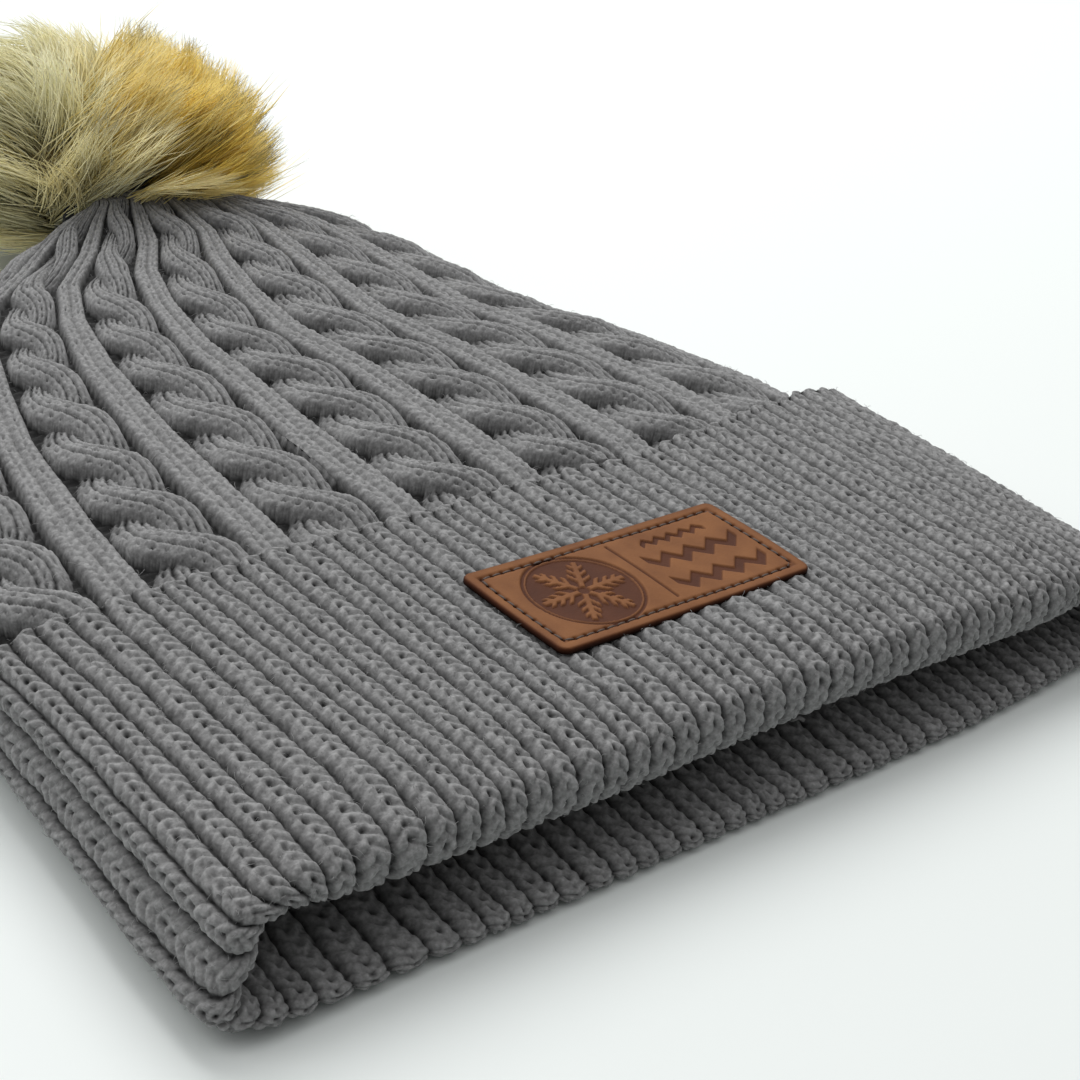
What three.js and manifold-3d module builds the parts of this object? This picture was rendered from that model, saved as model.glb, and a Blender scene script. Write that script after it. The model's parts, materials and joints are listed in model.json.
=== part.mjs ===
// Pom pom beanie, lying flat. Millimetres, +X across the hat, +Y from mouth to pom, +Z up from the table.
// Every hat piece is drawn with y counted from the fold at the mouth, then the whole group is centred.
import * as THREE from "three";
import { mergeVertices } from "three/addons/utils/BufferGeometryUtils.js";
import Module from "manifold-3d";

// Driving dimensions
const hatHalfWidth = 109; // the cuff, laid flat
const hatHalfHeight = 12.5; // half the height of the cuff: four layers of knit and the air inside
const cuffMiddle = 12.1; // its middle is lower than half its height, so it settles flat on the table
const cuffDepth = 73; // from the fold to the free edge of the turn-up
const crownLength = 216; // from the fold to the gathered tip
const tipSplit = 198; // the gathered tip, which leans with the pom, starts here
const wholeLength = 284; // from the fold to the back of the pom
const turnUpWall = 4;
const bandWall = 3.6;
const crownWall = 5;
const tipWall = 4;
const gap = 0.3; // between pieces that touch
const tipX = 10; // the gathered tip lies a little to one side
const tipZ = 19.5;
const tipHole = 5; // how far the end wall reaches in from the tip's outline
const snapRadius = 5;
const postRadius = 1.5;
const headRadius = 2.45;
const pomRadius = 34; // before the pom settles: it spreads sideways and flattens on the table
const pomSpread = 1.35; // half its width over pomRadius
const pomRise = 1.13; // the same for the half above the snap
const coreRadius = 20; // the stuffed bag under the pile
const backingWall = 1;
const patchSize = { width: 61, height: 27, thick: 1.7, corner: 1.8, y: 36.2, inset: 2.6 };
const grooveSize = { width: 1.6, depth: 0.8 };
const labelSize = { width: 22, length: 30, thick: 0.6, x: 29, y: 40 };
const seamX = 14; // the closing seam of the knitted tube, down the back

const nominal = 60; // radius of the round tube that is flattened into the hat
const cuffSquareness = 3; // 2 is an ellipse, more is closer to a rectangle
const crownSquareness = 2.6;
const around = 48; // facets round the hat

// Outlines: [y, half width, half height, height of the middle]
const cuffOutline = [
  [0, hatHalfWidth, hatHalfHeight, cuffMiddle],
  [cuffDepth, hatHalfWidth, hatHalfHeight, cuffMiddle],
];
const crownOutline = [
  [cuffDepth, 104, 11.6, 12.2],
  [100, 101, 12.3, 12.2],
  [130, 91, 12.4, 12.2],
  [160, 78, 12.4, 12.3],
  [185, 69, 12.2, 13],
  [tipSplit, 63, 12, 15],
  [208, 52, 10.6, 18.7],
  [213, 34, 9.4, 19.3],
  [crownLength, 12, 8, tipZ],
];

const wool = 0x77787b;
const seamYarn = 0x6b6c70;
const felt = 0x4c4d50;
const steel = 0xb8bbc0;
const cowhide = 0x8a5c3e;
const brownThread = 0x4a2f20;
const satin = 0xe9e7e0;
const pile = 0xb7a27c;
const wadding = 0xf2f1ec;

const wasm = await Module();
wasm.setup();

// Value of column k of an outline at y.
function along(rows, y, k) {
  const i = rows.findIndex((row) => row[0] >= y);
  if (i < 0) return rows[rows.length - 1][k];
  if (i === 0) return rows[0][k];
  const [low, high] = [rows[i - 1], rows[i]];
  return THREE.MathUtils.lerp(low[k], high[k], (y - low[0]) / (high[0] - low[0]));
}

// Only positions, with shared vertices merged and every face turned outwards.
function closed(geometry) {
  geometry.deleteAttribute("normal");
  geometry.deleteAttribute("uv");
  const merged = mergeVertices(geometry, 1e-3);
  const [a, b, c] = [new THREE.Vector3(), new THREE.Vector3(), new THREE.Vector3()];
  const index = merged.index.array;
  const p = merged.attributes.position;
  let volume = 0;
  for (let i = 0; i < index.length; i += 3) {
    a.fromBufferAttribute(p, index[i]);
    b.fromBufferAttribute(p, index[i + 1]);
    c.fromBufferAttribute(p, index[i + 2]);
    volume += a.dot(b.cross(c));
  }
  if (volume < 0) index.reverse();
  return merged;
}

function solidOf(geometry) {
  return new wasm.Manifold(
    new wasm.Mesh({
      numProp: 3,
      vertProperties: geometry.attributes.position.array,
      triVerts: new Uint32Array(geometry.index.array),
    }),
  );
}

function geometryOf(solid) {
  const mesh = solid.getMesh();
  const geometry = new THREE.BufferGeometry();
  geometry.setAttribute("position", new THREE.BufferAttribute(mesh.vertProperties, 3));
  geometry.setIndex(new THREE.BufferAttribute(mesh.triVerts, 1));
  return geometry;
}

// A piece turned about the Y axis from [radius, y] pairs, open on the axis or closed on itself.
function turned(pairs, segments = 28) {
  const points = pairs.map(([r, y]) => new THREE.Vector2(r, y));
  if (pairs[0][0] > 0) points.push(points[0].clone());
  return new THREE.LatheGeometry(points, segments);
}

const power = (value, exponent) => Math.sign(value) * Math.abs(value) ** exponent;

// Flattens a round tube about the Y axis into the hat's section, keeping its wall thickness.
function flatten(geometry, rows, squareness) {
  const p = geometry.attributes.position;
  for (let i = 0; i < p.count; i++) {
    const y = p.getY(i);
    const turn = Math.atan2(p.getZ(i), p.getX(i));
    const depth = nominal - Math.hypot(p.getX(i), p.getZ(i));
    const a = along(rows, y, 1) - depth;
    const b = along(rows, y, 2) - depth;
    const shift = tipX * THREE.MathUtils.smoothstep(y, 150, crownLength);
    const x = shift + a * power(Math.cos(turn), 2 / squareness);
    const z = along(rows, y, 3) + b * power(Math.sin(turn), 2 / squareness);
    p.setXYZ(i, x, y, Math.max(z, 0));
  }
  return closed(geometry);
}

// Lets a round piece about the Y axis spread, rise and rest on the table as the pom does.
function settle(geometry) {
  const p = geometry.attributes.position;
  for (let i = 0; i < p.count; i++) {
    const [x, z] = [p.getX(i), p.getZ(i)];
    const r = Math.hypot(x, z);
    const sag = (tipZ + 0.6) * Math.sin(Math.min(1, r / pomRadius) * 0.5 * Math.PI);
    const height = z > 0 ? z * pomRise : (sag * z) / (r || 1);
    p.setXYZ(i, x * pomSpread, p.getY(i), Math.max(height, -tipZ));
  }
  return closed(geometry);
}

// A tube wall between two depths in from the outside, along y.
function wall(from, to, steps, outer, inner) {
  const pairs = [];
  for (let i = 0; i <= steps; i++)
    pairs.push([nominal - outer, THREE.MathUtils.lerp(from, to, i / steps)]);
  for (let i = steps; i >= 0; i--)
    pairs.push([nominal - inner, THREE.MathUtils.lerp(from, to, i / steps)]);
  return turned(pairs, around);
}

// A yarn or wire ring about the Y axis, of round section.
function yarnRing(radiusX, radiusZ, thick, y) {
  const points = [];
  for (let i = 0; i < 24; i++) {
    const turn = (i / 24) * 2 * Math.PI;
    points.push(new THREE.Vector3(radiusX * Math.cos(turn), y, radiusZ * Math.sin(turn)));
  }
  const section = new THREE.Shape();
  section.absarc(0, 0, thick, 0, 2 * Math.PI);
  const extrudePath = new THREE.CatmullRomCurve3(points, true);
  return closed(new THREE.ExtrudeGeometry(section, { extrudePath, steps: 36, curveSegments: 4 }));
}

function roundedRectangle(width, height, corner) {
  const [w, h] = [width / 2 - corner, height / 2 - corner];
  const shape = new THREE.Shape();
  shape.absarc(w, -h, corner, -Math.PI / 2, 0);
  shape.absarc(w, h, corner, 0, Math.PI / 2);
  shape.absarc(-w, h, corner, Math.PI / 2, Math.PI);
  shape.absarc(-w, -h, corner, Math.PI, 1.5 * Math.PI);
  return shape;
}

function plate(shape, depth) {
  return closed(
    new THREE.ExtrudeGeometry(shape, { depth, bevelEnabled: false, curveSegments: 4 }),
  );
}

// A flat rectangular frame, its outer edge inset from the patch's edge.
function frame(inset, band, depth) {
  const [w, h] = [patchSize.width - 2 * inset, patchSize.height - 2 * inset];
  const shape = roundedRectangle(w, h, 1.2);
  shape.holes.push(roundedRectangle(w - 2 * band, h - 2 * band, 0.4));
  return plate(shape, depth);
}

const beanie = new THREE.Group();
const hat = new THREE.Group();
hat.position.set(0, -wholeLength / 2, 0);
beanie.add(hat);

const tip = new THREE.Group(); // about the snap's axis, its origin on the tip's outer face
tip.position.set(tipX, crownLength, tipZ);
hat.add(tip);

function add(parent, name, geometry, color, roughness = 0.95, metalness = 0) {
  const material = new THREE.MeshStandardMaterial({ color, roughness, metalness });
  const mesh = new THREE.Mesh(closed(geometry), material);
  mesh.name = name;
  parent.add(mesh);
  return mesh;
}

// The outer half of the cuff: it closes over the band's front edge in a soft fold.
function turnUp() {
  const inner = turnUpWall + gap + bandWall;
  const fold = turnUpWall + 0.2;
  const pairs = [
    [nominal - turnUpWall, cuffDepth],
    [nominal - turnUpWall, fold],
    [nominal - inner, fold],
    [nominal - inner, 3],
    [nominal - inner + 1, 1],
    [nominal - inner + 3, 0],
    [nominal - 3, 0],
    [nominal - 1, 1],
    [nominal, 3],
    [nominal, cuffDepth],
  ];
  return flatten(turned(pairs, around), cuffOutline, cuffSquareness);
}

function innerBand() {
  const outer = turnUpWall + gap;
  const tube = wall(turnUpWall + 0.5, cuffDepth + 0.2, 1, outer, outer + bandWall);
  return flatten(tube, cuffOutline, cuffSquareness);
}

function crownBody() {
  const tube = wall(cuffDepth + 0.5, tipSplit, 9, 0, crownWall);
  return flatten(tube, crownOutline, crownSquareness);
}

// The gathered end: a wall that turns in round the hole for the snap's post.
function crownTip() {
  const start = tipSplit + gap;
  const inside = crownLength - tipWall;
  const pairs = [];
  for (const y of [start, 203, 208, 211, 213, 214.6, crownLength]) pairs.push([nominal, y]);
  pairs.push([nominal - tipHole, crownLength], [nominal - tipHole, inside]);
  for (const y of [inside, 208, 203, start]) pairs.push([nominal - tipWall, y]);
  return flatten(turned(pairs, around), crownOutline, crownSquareness);
}

add(hat, "cuff_turn_up", turnUp(), wool);
add(hat, "cuff_inner_band", innerBand(), wool);
add(hat, "crown_body", crownBody(), wool);
add(hat, "crown_tip", crownTip(), wool);

// Closing seams of the knitted tube, on the inside of the back layer
function seam(name, from, to, floor) {
  const yarn = add(hat, name, new THREE.BoxGeometry(1.4, to - from, 0.8), seamYarn);
  yarn.position.set(seamX, (from + to) / 2, floor + 1);
}
const bandFloor = cuffMiddle - hatHalfHeight + turnUpWall + gap + bandWall;
seam("cuff_seam_yarn", 6, cuffDepth - 1, bandFloor - 0.2);
seam("crown_seam_yarn", cuffDepth + 3, 178, crownWall);

// Leather patch with a sewn groove, and the thread that lies in it
const cuffTop = cuffMiddle + hatHalfHeight;
const cutout = roundedRectangle(patchSize.width, patchSize.height, patchSize.corner);
const hide = solidOf(plate(cutout, patchSize.thick));
const groove = frame(patchSize.inset, grooveSize.width, grooveSize.depth + 1);
groove.translate(0, 0, patchSize.thick - grooveSize.depth);
const patch = add(hat, "leather_patch", geometryOf(hide.subtract(solidOf(groove))), cowhide, 0.6);
patch.position.set(0, patchSize.y, cuffTop + gap);
const thread = frame(patchSize.inset + gap, grooveSize.width - 2 * gap, grooveSize.depth - gap);
const stitching = add(hat, "patch_stitching", thread, brownThread);
stitching.position.set(0, patchSize.y, cuffTop + gap + patchSize.thick - grooveSize.depth + gap);

// Blank care label inside the band, and the row of thread that holds its end
const labelBox = new THREE.BoxGeometry(labelSize.width, labelSize.length, labelSize.thick);
const label = add(hat, "care_label", labelBox, satin, 0.6);
label.position.set(labelSize.x, labelSize.y, bandFloor + 0.7);
const tack = add(hat, "care_label_stitch", new THREE.BoxGeometry(18, 1, 0.4), satin, 0.6);
tack.position.set(labelSize.x, labelSize.y + labelSize.length / 2 - 2, bandFloor + 1.5);

// Press snap, hat side: cap and post inside the tip, felt washer, drawn yarn, stud outside
add(tip, "tip_gather_yarn", yarnRing(10, 6.6, 0.6, 0.95), seamYarn);
add(tip, "tip_felt_washer", turned([[2, -6], [5.2, -6], [5.2, -4.5], [2, -4.5]]), felt);
const cap = [
  [0, -8.4],
  [4.4, -8.4],
  [snapRadius, -7.8],
  [snapRadius, -6.4],
  [postRadius, -6.4],
  [postRadius, 3],
  [0, 3],
];
add(tip, "snap_cap", turned(cap), steel, 0.3, 1);
const stud = [
  [0, 4.4],
  [2, 4.4],
  [headRadius, 3.9],
  [headRadius, 3.2],
  [2, 2.7],
  [2, 1.7],
  [snapRadius, 1.4],
  [snapRadius, 0.4],
  [postRadius + gap, 0.4],
  [postRadius + gap, 3.4],
  [0, 3.4],
];
add(tip, "snap_stud", turned(stud), steel, 0.3, 1);

// Press snap, pom side: socket with its ring spring, felt base disc, cap and post inside the pom
const mouth = headRadius + 0.35;
const socket = [
  [mouth, 1.8],
  [snapRadius, 1.8],
  [snapRadius, 5.4],
  [postRadius + gap, 5.4],
  [postRadius + gap, 4.8],
  [mouth, 4.8],
  [mouth, 3.3],
  [mouth + 0.9, 3.3],
  [mouth + 0.9, 2.3],
  [mouth, 2.3],
];
add(tip, "snap_socket", turned(socket), steel, 0.3, 1);
add(tip, "snap_spring_ring", yarnRing(mouth + 0.3, mouth + 0.3, 0.28, 2.8), steel, 0.3, 1);
const disc = [[postRadius + gap, 5.7], [13, 5.7], [13, 6.9], [postRadius + gap, 6.9]];
add(tip, "pom_base_disc", turned(disc), felt);
const socketCap = [
  [0, 8.4],
  [snapRadius, 8.4],
  [snapRadius, 7.2],
  [postRadius, 7.2],
  [postRadius, 5],
  [0, 5],
];
add(tip, "snap_socket_cap", turned(socketCap), steel, 0.3, 1);
add(tip, "pom_gather_yarn", yarnRing(8, 8, 0.6, 8.2), seamYarn);

// Half an ellipse about y = middle, from the radius of its front opening round to the back.
function bulge(radius, middle, front, back, opening, steps) {
  const start = Math.asin(Math.min(1, opening / radius));
  const pairs = [];
  for (let i = 0; i <= steps; i++) {
    const turn = THREE.MathUtils.lerp(start, Math.PI, i / steps);
    const reach = turn < Math.PI / 2 ? front : back;
    pairs.push([radius * Math.max(0, Math.sin(turn)), middle - reach * Math.cos(turn)]);
  }
  pairs[steps][0] = 0;
  return pairs;
}

// The stuffed bag of the pom, the pile round it, and its filling
const coreMiddle = 28;
const core = bulge(coreRadius, coreMiddle, coreRadius, coreRadius, 9.5, 10);
const lining = coreRadius - backingWall;
const coreInside = bulge(lining, coreMiddle, lining, lining, 9, 10);
add(tip, "pom_backing", settle(turned(core.concat(coreInside.reverse()), 32)), wool);

const pileBack = wholeLength - crownLength;
const pileMiddle = 26;
const pileFront = 7.2;
const pileReach = pileBack - pileMiddle;
const frontRadius = pomRadius * Math.sqrt(1 - ((pileMiddle - pileFront) / pileReach) ** 2);
const bed = coreRadius + 0.5;
const pileOutside = bulge(pomRadius, pileMiddle, pileReach, pileReach, frontRadius, 12);
const pileInside = bulge(bed, coreMiddle, bed, bed, 10.5, 10);
const fur = [[10.5, pileFront], ...pileOutside, ...pileInside.reverse()];
add(tip, "pom_fur", settle(turned(fur, 32)), pile);

const stuffing = lining - 0.5;
const stuffingOutside = bulge(stuffing, coreMiddle, stuffing, stuffing, 7.5, 10);
add(tip, "pom_filling", settle(turned([[0, stuffingOutside[0][1]], ...stuffingOutside], 28)), wadding);

export default beanie;
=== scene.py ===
import json
import math
import bmesh
import bpy
import numpy as np
from mathutils import Matrix, Vector

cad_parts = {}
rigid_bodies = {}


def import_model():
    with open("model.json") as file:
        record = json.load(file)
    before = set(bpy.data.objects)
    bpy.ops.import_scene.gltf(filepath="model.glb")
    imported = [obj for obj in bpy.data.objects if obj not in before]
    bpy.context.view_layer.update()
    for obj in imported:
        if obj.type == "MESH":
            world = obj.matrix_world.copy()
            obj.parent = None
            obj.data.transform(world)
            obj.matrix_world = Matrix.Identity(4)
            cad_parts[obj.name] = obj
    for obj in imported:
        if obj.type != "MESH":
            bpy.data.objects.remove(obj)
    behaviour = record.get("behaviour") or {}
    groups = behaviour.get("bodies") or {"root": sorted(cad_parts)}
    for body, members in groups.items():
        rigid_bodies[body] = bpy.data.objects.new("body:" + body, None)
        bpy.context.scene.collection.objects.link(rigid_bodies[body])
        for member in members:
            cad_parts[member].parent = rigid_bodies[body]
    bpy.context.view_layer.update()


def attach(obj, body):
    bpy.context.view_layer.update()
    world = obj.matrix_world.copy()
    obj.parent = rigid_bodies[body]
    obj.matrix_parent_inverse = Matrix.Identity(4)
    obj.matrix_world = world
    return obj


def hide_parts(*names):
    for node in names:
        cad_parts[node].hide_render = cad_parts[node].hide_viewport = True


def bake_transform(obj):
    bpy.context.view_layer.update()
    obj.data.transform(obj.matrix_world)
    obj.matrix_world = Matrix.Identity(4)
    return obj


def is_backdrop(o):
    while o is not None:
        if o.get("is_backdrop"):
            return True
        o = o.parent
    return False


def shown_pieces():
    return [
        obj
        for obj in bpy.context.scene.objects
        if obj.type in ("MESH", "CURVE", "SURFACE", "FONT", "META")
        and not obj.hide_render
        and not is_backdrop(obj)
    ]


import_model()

mm = 0.001
mouthY = -142.0  # mm, the fold of the cuff along the hat

# what a user would change, one dictionary per piece, in mm
cuff = {"ribs": 88, "stitch": 2.45, "depth": 73.0, "halfWidth": 109.0, "halfHeight": 12.5, "middle": 12.1,
        "squareness": (4.2, 6.0), "fold": 3.95, "droop": 2.0, "spread": 2.7, "reach": 5.2, "uneven": 9.0,
        "corner": 5.0, "drawnIn": 2.2, "pressed": 0.75, "girth": 457.0, "valley": 1.85, "grid": 0.34}
crown = {"cables": 15, "span": 29.3, "stitch": 2.4, "crossing": 17.0, "strand": 4.9, "swing": 4.4,
         "ribWidth": 8.8, "offset": -4.0, "cut": 4.9, "squareness": (3.0, 4.0), "valley": 5.4, "wall": 6.8,
         "girth": 435.0, "length": 216.0}
crownOutline = np.array([  # y, half width, half height, height of the middle, sideways shift
    [66, 102, 7.0, 12.2, 0], [71, 104, 8.6, 12.2, 0], [76, 105.5, 11.2, 12.2, 0], [82, 105, 12.0, 12.2, 0],
    [100, 102.5, 12.3, 12.2, 0], [130, 92.5, 12.4, 12.2, 0], [150, 81.5, 12.4, 12.2, -1],
    [170, 74.5, 12.4, 12.3, 2.5], [185, 67, 12.1, 12.6, 7], [198, 52, 11.3, 13.9, 13.5],
    [208, 37, 9.9, 16.6, 15], [213, 25, 9.1, 18.4, 14.5], [216, 12, 8, 19.5, 10]])
patch = {"width": 61.0, "height": 27.0, "thick": 1.15, "corner": 1.8, "x": 0.8, "y": 37.2, "base": 24.5,
         "inset": 2.4, "stitch": 2.4, "grid": 0.22}
pom = {"x": 10.0, "y": 216.0, "z": 19.5, "back": 28.0, "core": (26.0, 20.0, 17.0),
       "reach": (48.0, 43.0, 28.5), "outer": (15.0, 242.0, 28.0), "strands": 29000, "pieces": 4}


def linear(hexColour):
    parts = [int(hexColour[i:i + 2], 16) / 255 for i in (1, 3, 5)]
    return [p / 12.92 if p <= 0.04045 else ((p + 0.055) / 1.055) ** 2.4 for p in parts] + [1.0]


def addNode(tree, kind, settings=None, links=None):
    node = tree.nodes.new(kind)
    for name, value in (settings or {}).items():
        if name in node.inputs and not hasattr(node, name):
            node.inputs[name].default_value = value
        else:
            setattr(node, name, value)
    for name, source in (links or {}).items():
        tree.links.new(source, node.inputs[name])
    return node


def surface(name, colour, roughness, metallic=0.0):
    material = bpy.data.materials.new(name)
    material.use_nodes = True
    shader = material.node_tree.nodes["Principled BSDF"]
    shader.inputs["Base Color"].default_value = linear(colour)
    shader.inputs["Roughness"].default_value = roughness
    shader.inputs["Metallic"].default_value = metallic
    return material, material.node_tree, shader


def ramp(tree, source, stops):
    node = addNode(tree, "ShaderNodeValToRGB", links={"Fac": source})
    elements = node.color_ramp.elements
    while len(elements) < len(stops):
        elements.new(0.5)
    for element, (place, colour) in zip(elements, stops):
        element.position = place
        element.color = linear(colour)
    return node


# heathered grey acrylic: matte, with painted shade down in the stitches, fine fibres along each leg
def knitMaterial():
    material, tree, shader = surface("Heathered_grey_acrylic_knit", "#8d8c8b", 0.92)
    place = addNode(tree, "ShaderNodeTexCoord")
    lay = addNode(tree, "ShaderNodeAttribute", {"attribute_name": "yarn"})
    depth = addNode(tree, "ShaderNodeAttribute", {"attribute_name": "paintedShade"})
    heather = addNode(tree, "ShaderNodeTexNoise", {"Scale": 1300.0, "Detail": 4.0},
                      {"Vector": place.outputs["Object"]})
    tone = ramp(tree, heather.outputs["Fac"], [(0.3, "#7c7c7c"), (0.5, "#929292"), (0.72, "#a8a8a8")])
    # painted shade: the knit's colour is multiplied down to dark grey in its holes and valleys
    shade = ramp(tree, depth.outputs["Fac"], [(0.0, "#ffffff"), (0.45, "#d4d4d4"), (1.0, "#424242")])
    mixed = addNode(tree, "ShaderNodeMix", {"data_type": "RGBA", "blend_type": "MULTIPLY"})
    mixed.inputs[0].default_value = 1.0
    tree.links.new(tone.outputs["Color"], mixed.inputs[6])
    tree.links.new(shade.outputs["Color"], mixed.inputs[7])
    tree.links.new(mixed.outputs[2], shader.inputs["Base Color"])
    strand = addNode(tree, "ShaderNodeMapping", {"Scale": (5.0, 0.8, 1.0)},
                     {"Vector": lay.outputs["Vector"]})
    fibre = addNode(tree, "ShaderNodeTexNoise", {"Scale": 1.0, "Detail": 2.0},
                    {"Vector": strand.outputs["Vector"]})
    bump = addNode(tree, "ShaderNodeBump", {"Strength": 0.5, "Distance": 0.0002},
                   {"Height": fibre.outputs["Fac"]})
    tree.links.new(bump.outputs["Normal"], shader.inputs["Normal"])
    shader.inputs["Sheen Weight"].default_value = 0.12
    shader.inputs["Sheen Roughness"].default_value = 0.5
    shader.inputs["Specular IOR Level"].default_value = 0.2
    return material


knitGrey = knitMaterial()


# the finished piece: linked, shaded smooth, riding its body and standing for its CAD nodes
def finished(name, mesh, material, body, nodes):
    piece = bpy.data.objects.new(name, mesh)
    bpy.context.scene.collection.objects.link(piece)
    piece.data.materials.append(material)
    piece.data.polygons.foreach_set("use_smooth", [True] * len(piece.data.polygons))
    if body:
        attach(piece, body)
    if nodes:
        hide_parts(*nodes)
    return piece


# point on the flattened tube's outline: fraction f goes round from the top (0) towards +x, back at 1
def outlinePoints(f, halfWidth, halfHeight, squareness):
    turn = np.linspace(0, 2 * np.pi, 4001)
    power = 2 / np.where(np.cos(turn) > 0, squareness[0], squareness[1])
    x = halfWidth * np.sign(np.sin(turn)) * np.abs(np.sin(turn)) ** power
    z = halfHeight * np.sign(np.cos(turn)) * np.abs(np.cos(turn)) ** power
    length = np.concatenate([[0], np.cumsum(np.hypot(np.diff(x), np.diff(z)))])
    s = (f % 1.0) * length[-1]
    return np.interp(s, length, x), np.interp(s, length, z), length[-1]


def smoothstep(low, high, v):
    t = np.clip((v - low) / (high - low), 0, 1)
    return t * t * (3 - 2 * t)


def gridNormals(points):
    du = np.gradient(points, axis=0)
    dv = np.gradient(points, axis=1)
    normals = np.cross(dv, du)
    size = np.linalg.norm(normals, axis=2, keepdims=True)
    return normals / np.maximum(size, 1e-9)


# soft irregularity of knitting: the same place always gives the same value
def wobble(a, b, seed=0.0):
    return (np.sin(a * 1.7 + b * 0.9 + seed) + np.sin(a * 0.83 - b * 1.31 + 2.1 * seed + 1.0)
            + np.sin(a * 2.9 + b * 2.3 + 0.7 * seed)) / 3


def jitter(i, j, seed):
    v = np.sin(i * 127.1 + j * 311.7 + seed * 74.7) * 43758.5453
    return v - np.floor(v) - 0.5


# smooth noise on a lattice of cells
def lattice(a, b, seed):
    i, j = np.floor(a), np.floor(b)
    u, v = a - i, b - j
    u, v = u * u * (3 - 2 * u), v * v * (3 - 2 * v)
    low = jitter(i, j, seed) * (1 - u) + jitter(i + 1, j, seed) * u
    high = jitter(i, j + 1, seed) * (1 - u) + jitter(i + 1, j + 1, seed) * u
    return 2 * (low * (1 - v) + high * v)


# one knitted column: two legs per stitch leaning into a V, a hole at each V, a groove on both sides
def column(c, t, number, seed):
    a = np.abs(c)
    lean = 1.7
    q = t + lean * a + 0.5 * (c > 0) * 0.12
    row = np.floor(q)
    size = 1 + 0.16 * jitter(number + 0.5 * (c > 0), row, seed)
    leg = np.abs(np.sin(np.pi * q)) ** 0.75 * size
    wide = 0.09 + 0.05 * jitter(number, np.floor(t + 0.35), seed + 9)
    gape = 0.85 + 0.9 * jitter(number, np.floor(t + 0.35), seed + 5)
    shift = c - 0.07 * jitter(number, np.floor(t + 0.35), seed + 7)
    beat = (0.5 + 0.5 * np.cos(2 * np.pi * (t - 0.15))) ** 2
    hole = np.exp(-((shift / wide) ** 2)) * (0.25 + 0.75 * beat) * gape
    return leg, hole, q


def cuffPattern(f, along, weight, phase):
    drift = 0.27 * wobble(f * 34, along * 0.012, 1.0) + 0.05 * wobble(f * 400, along * 0.4, 4.0)
    c = f * cuff["ribs"] + phase + drift
    number = np.round(c)
    c = c - number
    t = along / cuff["stitch"] + 0.25 * wobble(number * 2.1, along * 0.06, 2.0)
    leg, hole, q = column(c, t, number, 1)
    a = np.abs(c)
    dome = np.sqrt(np.clip(1 - (a / 0.455) ** 2, 0, 1)) ** 0.8
    purl = 0.18 * (0.5 + 0.5 * np.cos(2 * np.pi * t)) * (1 - dome)
    height = dome * (0.66 + 0.34 * leg) - 0.46 * hole + purl
    place = f * 455  # mm round the band
    height = height + 0.09 * lattice(place / 0.6, along / 0.6, 21)
    height = height + 0.09 * lattice(place / 1.6, along / 2.2, 22)
    relief = np.minimum(cuff["valley"] * (height - 1.0), 0.15)
    # painted shade: darker between the ribs, where the legs dip and in the holes
    paintedShade = np.clip(0.8 * (1 - dome) + 0.4 * (1 - leg) + 0.85 * hole, 0, 1)
    yarn = np.stack([q * 1.0 + number * 7.3, (t - a) * cuff["stitch"], c * 3.2], axis=-1)
    return relief * weight, paintedShade, yarn


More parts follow.
